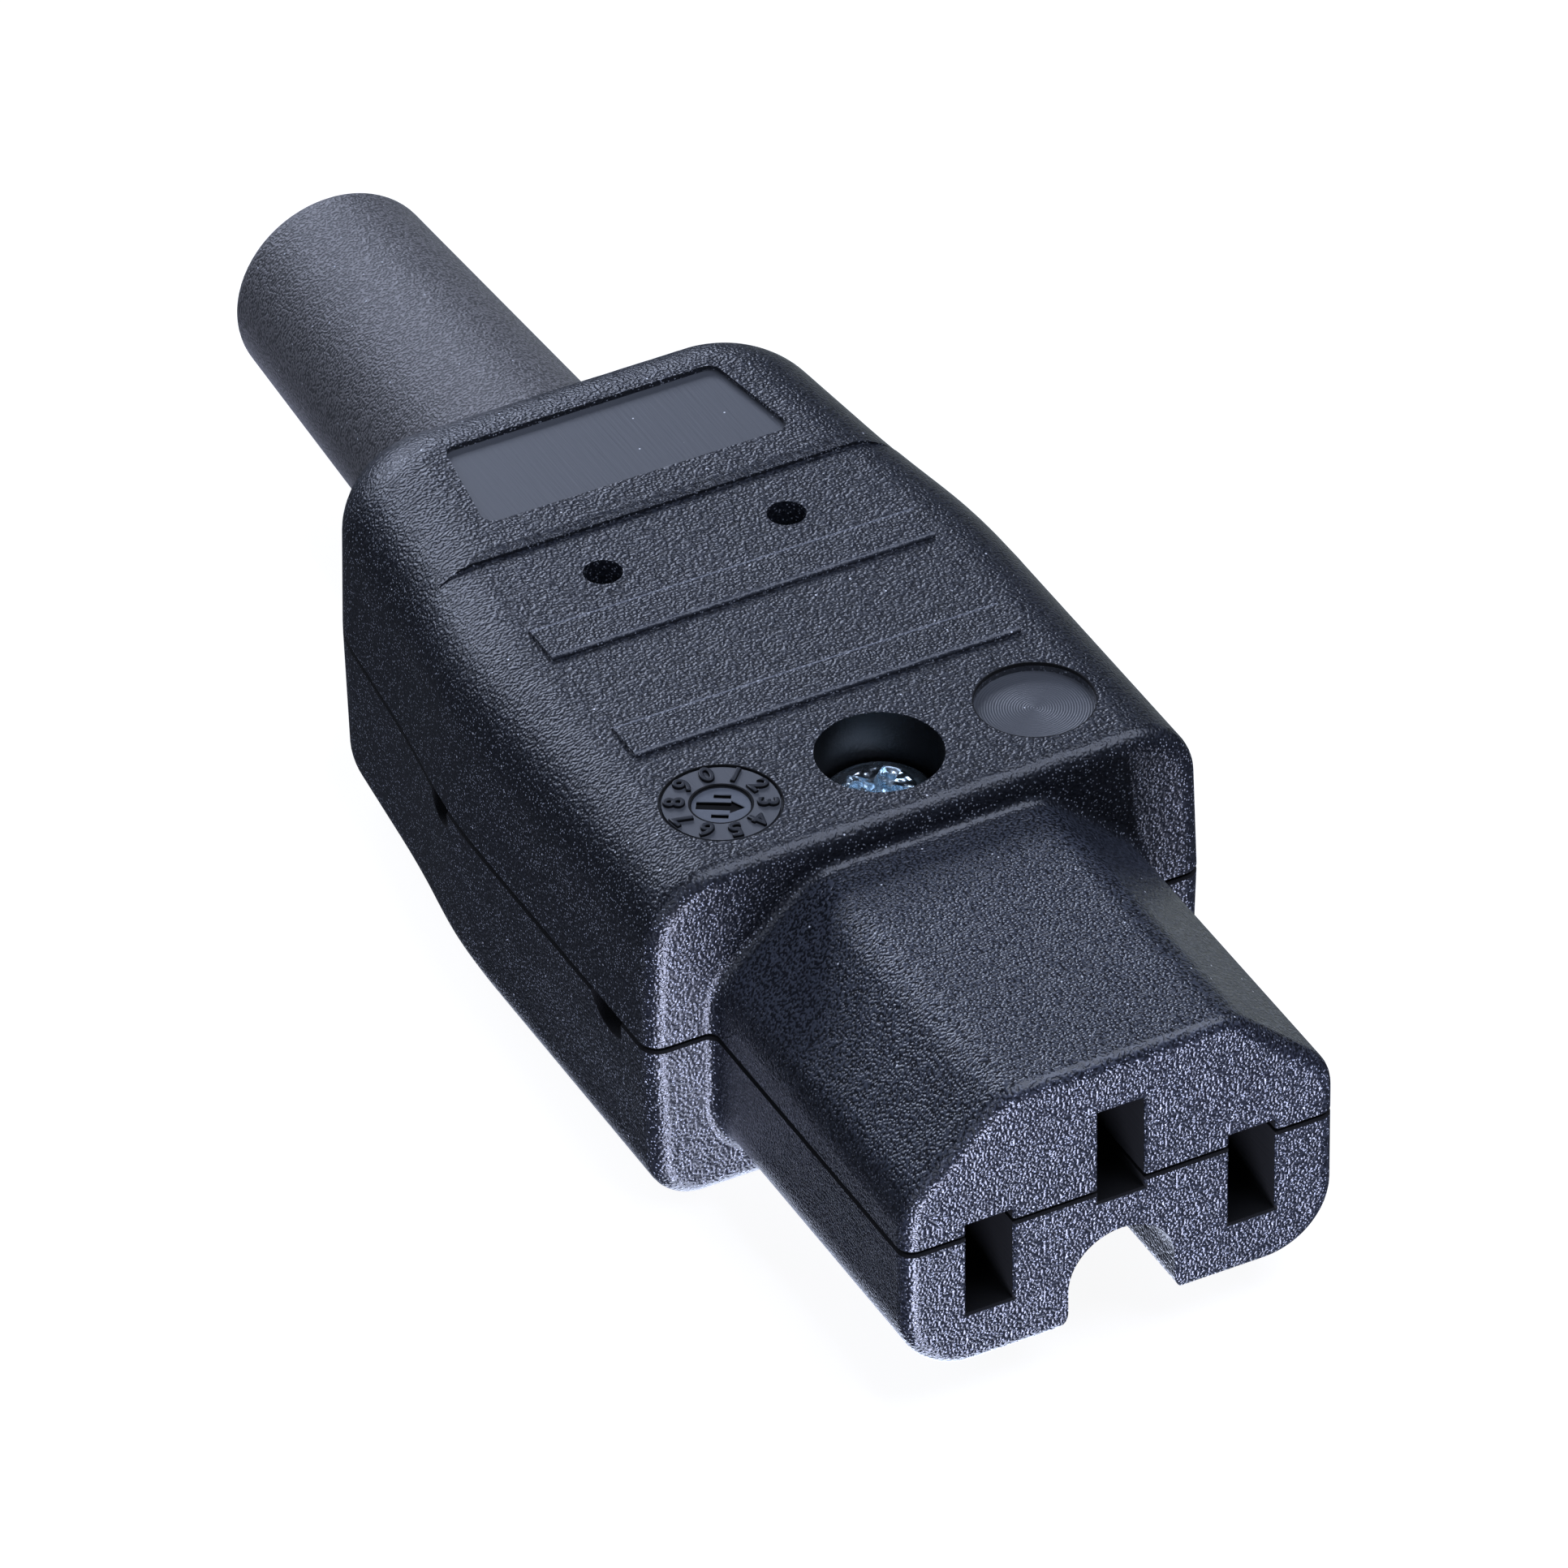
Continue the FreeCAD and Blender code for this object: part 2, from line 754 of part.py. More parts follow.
def jogged_tail(x0, x1, jog_end, y_end, z0, z1):
    """Upright strip that steps aside from x0 to x1 on its way back."""
    start = socket_back - sheet
    jog_start = socket_back + sheet
    side = [(x0, start, 0), (x0, jog_start, bend_r), (x1, jog_end, bend_r), (x1, y_end, 0)]
    other = [(x + sheet, y, radius) for x, y, radius in reversed(side)]
    return rounded_face(side + other, in_plan(z0)).extrude(V(0, 0, z1 - z0))


def tapped_tab(tab, x, y):
    """Adds the drawn thread collar to a tab and opens the screw hole."""
    collar = rod(collar_r, x, y, tab_low_z, tab_top_z + collar_height)
    hole = rod(terminal_screw_r + close, x, y, tab_low_z - overlap, tab_top_z + collar_height + overlap)
    return tab.fuse(collar).cut(hole).removeSplitter()


def contact_live():
    """Socket whose inner leaf runs back and folds outwards into the terminal tab."""
    x = pin_pitch / 2
    leaf_x = x - socket_rear / 2 - sheet
    fold_end = cavity_front + running
    jog_end = cavity_front - bulkhead
    tail = jogged_tail(leaf_x, line_tail_x, jog_end, fold_end, -line_tail_drop, tab_top_z)
    neck = x + channel_width / 2 - running
    outer = terminal_x + tab_half - sheet
    face = rounded_face([
        (line_tail_x, jog_end, 0),
        (neck, jog_end, sheet),
        (neck, fold_end, sheet),
        (outer, fold_end, sheet),
        (outer, terminal_y + tab_half, sheet),
        (line_tail_x, terminal_y + tab_half, sheet),
    ], in_plan(tab_low_z))
    tab = face.extrude(V(0, 0, sheet))
    folded = socket(x, -pin_offset).fuse([tail, tab])
    return tapped_tab(folded, terminal_x, terminal_y)


def contact_earth():
    """Socket whose right leaf steps round the screw pillar to a tab behind it."""
    leaf_x = socket_rear / 2
    tab_back = earth_terminal_y + tab_half
    tail_top = tab_low_z + earth_tail_height
    tail = jogged_tail(leaf_x, earth_tail_x, cavity_front - bulkhead, tab_back, tab_low_z, tail_top)
    face = rounded_face([
        (earth_tail_x + sheet, earth_terminal_y - tab_half, 0),
        (earth_tail_x + sheet, tab_back, 0),
        (-tab_half, tab_back, sheet),
        (-tab_half, earth_terminal_y - tab_half, sheet),
    ], in_plan(tab_low_z))
    tab = face.extrude(V(0, 0, sheet))
    folded = socket(0, pin_offset).fuse([tail, tab])
    return tapped_tab(folded, 0, earth_terminal_y)


def terminal_plate(x, y):
    """Square plate that clamps the wire under the screw head."""
    half = plate_side / 2
    corners = [(x + i * half, y + j * half, sheet) for i, j in quarters]
    plate = rounded_face(corners, in_plan(tab_low_z - plate_thick)).extrude(V(0, 0, plate_thick))
    hole = rod(terminal_screw_r + fit, x, y, tab_low_z - 2 * plate_thick, tab_low_z + plate_thick)
    return plate.cut(hole)


def cord_clamp_bar():
    """Bridge with a saddle for the cord and a screw hole at each end."""
    half = bar_length / 2
    low = cradle_lip_z - bar_thick
    depth = bar_depth / 2
    corners = [
        (-half, clamp_y - depth, bar_corner_r),
        (half, clamp_y - depth, bar_corner_r),
        (half, clamp_y + depth, bar_corner_r),
        (-half, clamp_y + depth, bar_corner_r),
    ]
    bar = rounded_face(corners, in_plan(low)).extrude(V(0, 0, bar_thick))
    saddle_z = cradle_lip_z + cradle_groove_r - bar_saddle_depth
    front = clamp_y - bar_depth
    saddle = Part.makeCylinder(cradle_groove_r, 2 * bar_depth, V(0, front, saddle_z), V(0, 1, 0))
    holes = []
    for hand in (-1, 1):
        x = hand * clamp_pitch / 2
        holes.append(rod(pilot_r + fit, x, clamp_y, low - overlap, cradle_lip_z + overlap))
    return bar.cut([saddle] + holes)


def build():
    nodes = {
        "upper_shell": upper_shell(),
        "lower_shell": lower_shell(),
        "cable_sleeve": cable_sleeve(),
        "housing_screw": housing_screw(),
        "contact_live": contact_live(),
        "contact_neutral": mirrored(contact_live()),
        "contact_earth": contact_earth(),
        "cord_clamp_bar": cord_clamp_bar(),
        "clamp_screw_left": clamp_screw(-1),
        "clamp_screw_right": clamp_screw(1),
    }
    for name, x, y in terminals():
        nodes["terminal_screw_" + name] = terminal_screw(x, y)
        nodes["terminal_plate_" + name] = terminal_plate(x, y)
    return nodes


os.makedirs("parts", exist_ok=True)
for node, shape in build().items():
    solids = shape.Solids
    print(node, shape.isValid(), len(solids), round(shape.Volume, 2))
    (solids[0] if len(solids) == 1 else shape).exportStep("parts/" + node + ".step")
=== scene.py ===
import math
from collections import namedtuple

import bmesh
import bpy
from mathutils import Matrix, Vector


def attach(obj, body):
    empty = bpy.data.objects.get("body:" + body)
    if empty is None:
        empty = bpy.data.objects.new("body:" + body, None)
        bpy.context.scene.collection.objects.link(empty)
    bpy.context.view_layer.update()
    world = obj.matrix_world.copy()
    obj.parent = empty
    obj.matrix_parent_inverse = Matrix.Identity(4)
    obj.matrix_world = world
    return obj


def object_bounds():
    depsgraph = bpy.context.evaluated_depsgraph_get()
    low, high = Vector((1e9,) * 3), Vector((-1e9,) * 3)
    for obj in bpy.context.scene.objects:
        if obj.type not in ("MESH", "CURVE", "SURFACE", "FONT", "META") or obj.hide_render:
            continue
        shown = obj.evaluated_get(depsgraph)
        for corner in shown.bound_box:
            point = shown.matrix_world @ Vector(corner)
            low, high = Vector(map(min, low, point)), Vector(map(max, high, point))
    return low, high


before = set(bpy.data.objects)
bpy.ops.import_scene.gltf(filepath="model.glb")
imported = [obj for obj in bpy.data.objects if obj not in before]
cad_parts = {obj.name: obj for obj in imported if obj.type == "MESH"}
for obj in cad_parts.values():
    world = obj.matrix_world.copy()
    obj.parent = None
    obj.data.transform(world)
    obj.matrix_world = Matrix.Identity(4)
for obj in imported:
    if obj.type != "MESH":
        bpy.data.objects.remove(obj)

# Looks of a rewireable cord connector: moulded black shells, rubber sleeve, plated screw.
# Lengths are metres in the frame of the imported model. Those with MM are written in millimetres.
MM = 0.001
cad_low, cad_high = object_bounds()

# View
view_azimuth = math.radians(-27.215)
view_elevation = math.radians(37.437)
view_roll = math.radians(0.817)
view_distance = 724.24 * MM
view_target = Vector((-15.455, 3.905, 26.607)) * MM
view_lens = 364.96
view_sensor = 36
view_clip = 0.01

# Top of the upper shell
body_top = 9.35 * MM
dial_centre = Vector((-8.43 * MM, 24.1 * MM, body_top))
blank_centre = Vector((8.43 * MM, 24.1 * MM, body_top))
dial_radius = 2.95 * MM
dial_sink = 0.06 * MM
hub_radius = 1.48 * MM
hub_depth = 0.42 * MM
counterbore_centre = Vector((0, 24.0 * MM, body_top))
counterbore_radius = 3.15 * MM
plate_half_width = 8.45 * MM
plate_front = 48.8 * MM
plate_rear = 55.3 * MM
plate_floor = 9.35 * MM
bar_fronts = (29.1 * MM, 37.8 * MM)
bar_span = 2.5 * MM
bar_half_width = 10.4 * MM
bar_edge = 0.13 * MM
# Lighter lines along the bar edges are painted highlights.
bar_highlight_full = 0.6 * bar_edge
bar_highlight_end = 1.3 * bar_edge
bar_skin = 0.03 * MM
bar_front_highlight = 0.2
bar_rear_highlight = 0.6

# Numbers of the dial
number_radius = 2.24 * MM
number_height = 0.98 * MM
number_rise = 0.2 * MM
number_bold = -0.01 * MM
number_edge = 0.06 * MM
number_edge_steps = 2
number_first_turn = math.radians(9.5)
number_count = 10
number_font_share = 0.7  # height of a digit as a share of the font's size

# Hub of the dial
hub_gap = 0.06 * MM
hub_thickness = 0.2 * MM
arrow_turn = math.radians(122)
arrow_length = 2.4 * MM
arrow_shaft = 0.62 * MM
arrow_head_width = 1.06 * MM
arrow_head_length = 0.75 * MM
mark_length = 0.84 * MM
mark_width = 0.34 * MM
mark_offset = 0.77 * MM
hub_steps = 48
merge_distance = 0.001 * MM

# Blade slots of the mating face
slot_places = ((-7.0 * MM, -2.0 * MM), (0.0, 2.0 * MM), (7.0 * MM, -2.0 * MM))
slot_half_width = 1.25 * MM
slot_half_height = 2.65 * MM
slot_mouth = 0.15 * MM
slot_skin = 0.02 * MM

# Prying notches in the rim of the lower shell
notch_places = ((22.1 * MM, 3.2 * MM), (40.8 * MM, 2.2 * MM))
notch_depth = 1.05 * MM
notch_belly = 1.3 * MM
notch_skin = 0.03 * MM

# Borders of the finishes and of the painted shade on the housing
insert_edge = 0.04 * MM
insert_reach = 0.6 * MM
plate_skin = 0.08 * MM
bore_skin = 0.05 * MM
bore_edge = 0.03 * MM
seam_low = -0.245 * MM
seam_high = 0.135 * MM
rim_line = 0.05 * MM
rim_reach = 0.2 * MM
hub_line = 0.09 * MM
hub_edge = 0.01 * MM
hub_skin = 0.03 * MM
nose_rear = 19.0 * MM
nose_blend = 0.8 * MM

# Noise patterns: the band of values they mostly fill, and how fine slow clouds are drawn
noise_low = 0.3
noise_high = 0.7
cloud_detail = 3.0

# Grain, rubbed tops and painted light and shade of the housing. Scales are cells per metre; a band
# is the stretch over which an effect changes.
grain_scale = 6800
grain_depth = 0.031 * MM
grain_band = (0.25, 0.75)
grain_middle = 0.5
body_grain = 0.9
# Grain tops are painted lighter, partly as rubbing and partly as painted light.
wear_and_light_band = (0.35, 0.65)
steep_band = (0.35, 0.8)
# Steep faces keep this share of the lighter grey, which paints shade on them.
steep_light_share = 0.4
body_light_share = 0.36
body_dullness = 0.08
front_edge_facing = (0, -0.7071, 0.7071)
front_edge_band = (0.86, 0.95)
front_edge_rub = 0.45
brush_scale = 7000
brush_turn = math.radians(35)
brush_stretch = (1.0, 0.04, 1.0)
polish_share = 0.27
ring_pitch = 0.13 * MM
cloud_scale = 180
housing_gloss_scale = 1500
housing_gloss = (0.22, 0.27)
insert_roughness = 0.42
# Painted glints: light specks on steep faces.
glint_scale = 6500
glint_size = 0.05 * MM
glint_share = 0.8
flat_glint = 0.1
nose_side_band = (0.5, 0.9)
nose_side_glint = 0.35
fleck_scale = 1050
fleck_size = 0.065 * MM
fleck_share = 0.6

# Colours of the housing
mould_black = (0.005, 0.006, 0.009, 1)
mould_grey = (0.007, 0.008, 0.012, 1)
# The grey below is partly rubbing and partly painted light on the grain tops.
wear_and_painted_light_grey = (0.048, 0.054, 0.071, 1)
# The grey below is painted glints.
painted_glint_grey = (0.36, 0.38, 0.43, 1)
insert_grey = (0.060, 0.064, 0.072, 1)
# The grey below is painted highlights along the bar edges.
bar_highlight_grey = (0.13, 0.14, 0.17, 1)
fleck_white = (0.80, 0.82, 0.86, 1)
# The black below is painted shade in the slots, notches, seam, insert rims and counterbore, and on the
# steep sides of the dial's marks.
painted_shade_black = (0.001, 0.001, 0.0015, 1)

# Rubber of the sleeve
rubber_scale = 7500
rubber_depth = 0.030 * MM
rubber_cloud_scale = 260
rubber_gloss_scale = 2400
rubber_gloss = (0.40, 0.50)
rubber_sheen = 0.15
rubber_sheen_roughness = 0.4
rubber_black = (0.036, 0.036, 0.037, 1)
rubber_grey = (0.040, 0.040, 0.041, 1)
rubber_bloom = (0.145, 0.139, 0.142, 1)
dust_scale = 1700
dust_size = 0.07 * MM
dust_share = 0.4
dust_strength = 0.8
dust_grey = (0.60, 0.62, 0.66, 1)

# Plating of the screws
film_scale = 420
film_relief = 0.02
film_band = (0.35, 0.65)
film_blue = (0.52, 0.69, 0.80, 1)
film_pale = (0.74, 0.81, 0.86, 1)
plating_gloss_scale = 1200
plating_gloss = (0.20, 0.30)
recess_radius = 1.7 * MM
recess_edge = 0.1 * MM
recess_dents = 0.3 * MM
dent_scale = 2500

# Brass of the contacts
roll_scale = 5200
roll_depth = 0.003 * MM
roll_stretch = (1.0, 0.08, 1.0)
roll_gloss = (0.24, 0.40)
tarnish_scale = 240
tarnish_band = (0.35, 0.7)
brass_bright = (0.72, 0.52, 0.22, 1)
brass_dull = (0.52, 0.36, 0.15, 1)

# Nylon of the cord clamp
nylon_cloud_scale = 300
nylon_gloss_scale = 2000
nylon_gloss = (0.38, 0.5)
nylon_scale = 5000
nylon_depth = 0.008 * MM
nylon_black = (0.022, 0.022, 0.024, 1)
nylon_grey = (0.034, 0.034, 0.036, 1)

# Raised marks of the dial
rub_scale = 4000
rub_depth = 0.004 * MM
mark_top_band = (0.35, 0.9)
mark_specular = 0.2
mark_side_roughness = 0.7
mark_top_roughness = 0.38
number_dull = (0.012, 0.013, 0.017, 1)
number_bright = (0.022, 0.025, 0.031, 1)
hub_dull = (0.09, 0.10, 0.115, 1)
hub_bright = (0.12, 0.13, 0.15, 1)

# Stage
table_half = 2.0
table_gap = 0.02 * MM
table_white = 0.22
table_glow = 0.92
tent_radius = 3.0
tent_segments = 32
tent_rings = 16
tent_glow = 1.0
stage_roughness = 0.9

# Light. A lamp stands off its target in the direction and at the distance given, and faces it.
# Distances, widths and heights are in metres.
Lamp = namedtuple("Lamp", "name target direction distance width height radiance tint")
cool_white = (0.83, 0.92, 1.18)
plain_white = (0.90, 1.0, 1.0)
violet_white = (0.85, 0.905, 1.24)
fill_strength = 0.06
nose_face = Vector((0, 0, 0))
body_middle = Vector((0, 30 * MM, 0))
sleeve_middle = Vector((0, 72 * MM, 0))
lamps = (
    Lamp("back_softbox", body_middle, (-0.045, 0.90, 0.42), 0.5, 0.46, 0.17, 6.6, cool_white),
    Lamp("front_softbox", nose_face, (-0.12, -0.83, -0.53), 0.36, 0.16, 0.28, 20.5, violet_white),
    Lamp("edge_softbox", body_middle, (0.36, -0.20, 0.91), 0.45, 0.40, 0.30, 3.6, cool_white),
    Lamp("top_lamp", counterbore_centre, (0, 0, 1), 0.24065, 0.02, 0.02, 60.0, cool_white),
    Lamp("rim_softbox", body_middle, (0.66, 0.70, -0.28), 0.4, 0.18, 0.18, 0.33, plain_white),
    Lamp("left_softbox", body_middle, (-0.70, 0.35, -0.62), 0.4, 0.08, 0.08, 1.5, cool_white),
    Lamp("side_softbox", body_middle, (-0.80, -0.45, 0.40), 0.45, 0.30, 0.30, 1.6, cool_white),
    Lamp("table_lamp", nose_face, (0.002, 0.012, -0.06), 0.06122, 0.038, 0.065, 5.0, cool_white),
    Lamp("sleeve_lamp", sleeve_middle, (0, 0, -1), 0.06, 0.03, 0.04, 1.2, cool_white),
)


def put(tree, kind, inputs=None, **settings):
    """Adds a node. Each input is a plain value or the output of another node."""
    made = tree.nodes.new("ShaderNode" + kind)
    for name, value in settings.items():
        setattr(made, name, value)
    for key, value in (inputs or {}).items():
        if isinstance(value, bpy.types.NodeSocket):
            tree.links.new(value, made.inputs[key])
        else:
            made.inputs[key].default_value = value
    return made


def calc(tree, operation, a, b=0.0):
    """One step of arithmetic."""
    return put(tree, "Math", {0: a, 1: b}, operation=operation).outputs[0]


def both(tree, a, b):
    """The share of the surface that lies in two areas at once."""
    return calc(tree, "MULTIPLY", a, b)


def either(tree, a, b):
    """The share of the surface that lies in one area or the other."""
    return calc(tree, "MAXIMUM", a, b)


def over(tree, value, limit):
    """1 where value is over limit."""
    return calc(tree, "GREATER_THAN", value, limit)


def under(tree, value, limit):
    """1 where value is under limit."""
    return calc(tree, "LESS_THAN", value, limit)


def away_from(tree, flat, centre):
    """Distance from a centre in the flat directions."""
    inputs = {0: flat, 1: (centre.x, centre.y, 0)}
    return put(tree, "VectorMath", inputs, operation="DISTANCE").outputs["Value"]


def remap(tree, value, low, high, start=0.0, end=1.0):
    """Carries value from low..high to start..end with soft ends."""
    inputs = {"Value": value, "From Min": low, "From Max": high, "To Min": start, "To Max": end}
    return put(tree, "MapRange", inputs, interpolation_type="SMOOTHSTEP").outputs["Result"]


def noise(tree, where, scale, detail):
    """Cloudy pattern between 0 and 1."""
    inputs = {"Vector": where, "Scale": scale, "Detail": detail}
    return put(tree, "TexNoise", inputs).outputs["Fac"]


def mix_colour(tree, share, first, second):
    """First colour where share is 0, second where it is 1."""
    made = put(tree, "Mix", {0: share, 6: first, 7: second}, data_type="RGBA")
    return made.outputs[2]


def mix_value(tree, share, first, second):
    """First value where share is 0, second where it is 1."""
    return put(tree, "Mix", {0: share, 2: first, 3: second}).outputs[0]


def new_finish(name):
    """Starts a material and gives its node tree, its surface shader and the object's own coordinates."""
    material = bpy.data.materials.new(name)
    material.use_nodes = True
    tree = material.node_tree
    skin = tree.nodes["Principled BSDF"]
    where = put(tree, "TexCoord").outputs["Object"]
    return material, tree, skin, where


def relief(tree, skin, height, depth):
    """Lets a height between 0 and 1 stand out of the surface by depth."""
    made = put(tree, "Bump", {"Height": height, "Distance": depth})
    tree.links.new(made.outputs["Normal"], skin.inputs["Normal"])


def disc_share(tree, flat, centre, radius, soft):
    """1 inside an upright cylinder, 0 outside it."""
    return remap(tree, away_from(tree, flat, centre), radius - soft, radius + soft, 1.0, 0.0)


def specks(tree, where, scale, size, kept):
    """Small round flecks scattered through the part; kept is the share of cells that hold one."""
    cells = put(tree, "TexVoronoi", {"Vector": where, "Scale": scale})
    dot = remap(tree, cells.outputs["Distance"], size * scale * 0.5, size * scale, 1.0, 0.0)
    chance = put(tree, "SeparateColor", {0: cells.outputs["Color"]}).outputs[0]
    return both(tree, dot, under(tree, chance, kept))


def cloudy_gloss(tree, where, scale, span):
    """Roughness that wanders between the two ends of span."""
    return remap(tree, noise(tree, where, scale, 2.0), noise_low, noise_high, *span)


def housing_plastic():
    """Black moulded plastic with a spark-eroded grain, smooth where mould inserts and the plate sit."""
    material, tree, skin, where = new_finish("black_grained_plastic")
    x, y, z = put(tree, "SeparateXYZ", {0: where}).outputs
    flat = put(tree, "CombineXYZ", {0: x, 1: y}).outputs[0]
    facing = put(tree, "NewGeometry").outputs["Normal"]
    coarse = noise(tree, where, grain_scale, 0.0)
    on_nose = remap(tree, y, nose_rear - nose_blend, nose_rear, 1.0, 0.0)

    inserts = mould_inserts(tree, flat, x, y, z)
    bore = screw_bore(tree, flat, z)
    painted_shade = dark_gaps(tree, flat, x, y, z)
    smooth = either(tree, inserts, either(tree, bore, painted_shade))

    firmness = mix_value(tree, on_nose, body_grain, 1.0)
    grain = mix_value(tree, firmness, grain_middle, remap(tree, coarse, *grain_band))
    rubbed = front_edge_wear(tree, facing)
    height = mix_value(tree, rubbed, grain, grain_middle)
    height = mix_value(tree, smooth, height, insert_polish(tree, where, flat))
    relief(tree, skin, height, grain_depth)

    shade = grained_shade(tree, where, facing, coarse, on_nose)
    shade = mix_colour(tree, smooth, shade, insert_grey)
    # Painted highlights along the bar edges.
    shade = mix_colour(tree, bar_edges(tree, x, y, z), shade, bar_highlight_grey)
    fleck = specks(tree, where, fleck_scale, fleck_size, fleck_share)
    shade = mix_colour(tree, fleck, shade, fleck_white)
    # Slots, notches, seam, hub floor, insert rims and counterbore are painted black as shade.
    shade = mix_colour(tree, either(tree, painted_shade, bore), shade, painted_shade_black)
    tree.links.new(shade, skin.inputs["Base Color"])

    gloss = cloudy_gloss(tree, where, housing_gloss_scale, housing_gloss)
    gloss = calc(tree, "ADD", gloss, mix_value(tree, on_nose, body_dullness, 0.0))
    gloss = mix_value(tree, smooth, gloss, insert_roughness)
    gloss = mix_value(tree, painted_shade, gloss, 1.0)
    tree.links.new(gloss, skin.inputs["Roughness"])
    return material


def mould_inserts(tree, flat, x, y, z):
    """1 on the dial, on the blank insert and on the floor of the plate."""
    dial = disc_share(tree, flat, dial_centre, dial_radius, insert_edge)
    blank = disc_share(tree, flat, blank_centre, dial_radius, insert_edge)
    discs = both(tree, either(tree, dial, blank), over(tree, z, body_top - insert_reach))
    in_width = under(tree, calc(tree, "ABSOLUTE", x), plate_half_width)
    in_length = both(tree, over(tree, y, plate_front), under(tree, y, plate_rear))
    level = {0: z, 1: plate_floor, 2: plate_skin}
    on_floor = put(tree, "Math", level, operation="COMPARE").outputs[0]
    plate = both(tree, both(tree, in_width, in_length), on_floor)
    return either(tree, discs, plate)


def screw_bore(tree, flat, z):
    """1 inside the counterbore of the housing screw."""
    bore = disc_share(tree, flat, counterbore_centre, counterbore_radius + bore_skin, bore_edge)
    return both(tree, bore, under(tree, z, body_top - bore_skin))


def front_edge_wear(tree, facing):
    """Grain rubbed away on the rounded edges that face forwards and up."""
    inputs = {0: facing, 1: front_edge_facing}
    edge = put(tree, "VectorMath", inputs, operation="DOT_PRODUCT").outputs["Value"]
    return remap(tree, edge, *front_edge_band, 0.0, front_edge_rub)


def insert_polish(tree, where, flat):
    """Slanting brush lines, and turned rings on the blank insert."""
    along = {"Vector": where, "Rotation": (0, 0, brush_turn), "Scale": brush_stretch}
    brushed = put(tree, "Mapping", along).outputs[0]
    brush_lines = calc(tree, "MULTIPLY", noise(tree, brushed, brush_scale, 1.0), polish_share)
    rings = calc(tree, "MULTIPLY", turned_rings(tree, flat, blank_centre), polish_share)
    blank = disc_share(tree, flat, blank_centre, dial_radius, insert_edge)
    return mix_value(tree, blank, brush_lines, rings)


def grained_shade(tree, where, facing, coarse, on_nose):
    """Near-black grain; tops greyer by rubbing and painted light; painted shade and painted glints on
    steep faces.
    """
    cloud = remap(tree, noise(tree, where, cloud_scale, cloud_detail), noise_low, noise_high)
    shade = mix_colour(tree, cloud, mould_black, mould_grey)
    sideways, _, upward = put(tree, "SeparateXYZ", {0: facing}).outputs
    steep = remap(tree, calc(tree, "ABSOLUTE", upward), *steep_band, 1.0, flat_glint)
    nose_side = both(tree, on_nose, calc(tree, "ABSOLUTE", sideways))
    # Grain tops lighter, partly rubbed and partly painted light; steep faces keep less of it, as painted
    # shade.
    worn_and_lit = remap(tree, coarse, *wear_and_light_band)
    worn_and_lit = calc(tree, "MULTIPLY", worn_and_lit, remap(tree, steep, flat_glint, 1.0, 1.0, steep_light_share))
    worn_and_lit = calc(tree, "MULTIPLY", worn_and_lit, mix_value(tree, on_nose, body_light_share, 1.0))
    shade = mix_colour(tree, worn_and_lit, shade, wear_and_painted_light_grey)
    # Light specks on steep faces are painted glints.
    painted_glint = both(tree, specks(tree, where, glint_scale, glint_size, glint_share), steep)
    painted_glint = calc(tree, "MULTIPLY", painted_glint, remap(tree, nose_side, *nose_side_band, 1.0, nose_side_glint))
    return mix_colour(tree, painted_glint, shade, painted_glint_grey)


def bar_edges(tree, x, y, z):
    """Painted highlights on the two raised bars: strong along their rear edges, faint along their front
    edges.
    """
    in_width = under(tree, calc(tree, "ABSOLUTE", x), bar_half_width)
    on_bar = both(tree, in_width, over(tree, z, body_top + bar_skin))
    highlight = 0.0
    for front in bar_fronts:
        rear = front + bar_span
        for edge, share in ((front + bar_edge, bar_front_highlight), (rear - bar_edge, bar_rear_highlight)):
            beside = calc(tree, "ABSOLUTE", calc(tree, "SUBTRACT", y, edge))
            line = remap(tree, beside, bar_highlight_full, bar_highlight_end, share, 0.0)
            highlight = either(tree, highlight, line)
    return both(tree, highlight, on_bar)


def turned_rings(tree, flat, centre):
    """Fine rings of a lathe cut round an upright axis, between 0 and 1."""
    around = calc(tree, "MULTIPLY", away_from(tree, flat, centre), 2 * math.pi / ring_pitch)
    return calc(tree, "ADD", calc(tree, "MULTIPLY", calc(tree, "SINE", around), 0.5), 0.5)


def dark_gaps(tree, flat, x, y, z):
    """1 where black is painted as shade: slots, notches, parting seam, floor under the hub, insert rims.
    """
    holes = either(tree, inside_slots(tree, x, y, z), rim_notches(tree, y, z))
    seam = both(tree, over(tree, z, seam_low), under(tree, z, seam_high))
    hub_floor = disc_share(tree, flat, dial_centre, hub_radius, hub_edge)
    hub_floor = both(tree, hub_floor, under(tree, z, body_top - hub_depth + hub_skin))
    hub_floor = both(tree, hub_floor, over(tree, z, 0.0))
    lines = (
        (dial_centre, dial_radius, rim_line),
        (dial_centre, hub_radius, hub_line),
        (blank_centre, dial_radius, rim_line),
    )
    rims = 0.0
    for centre, radius, width in lines:
        beside = calc(tree, "SUBTRACT", away_from(tree, flat, centre), radius)
        rims = either(tree, rims, under(tree, calc(tree, "ABSOLUTE", beside), width))
    rims = both(tree, rims, over(tree, z, body_top - rim_reach))
    return either(tree, either(tree, holes, seam), either(tree, hub_floor, rims))


def arc_centre(a, b, c):
    """Centre of the circle through three flat points."""
    turn = 2 * (a.x * (b.y - c.y) + b.x * (c.y - a.y) + c.x * (a.y - b.y))
    first, second, third = a.length_squared, b.length_squared, c.length_squared
    across = first * (b.y - c.y) + second * (c.y - a.y) + third * (a.y - b.y)
    along = first * (c.x - b.x) + second * (a.x - c.x) + third * (b.x - a.x)
    return Vector((across / turn, along / turn))


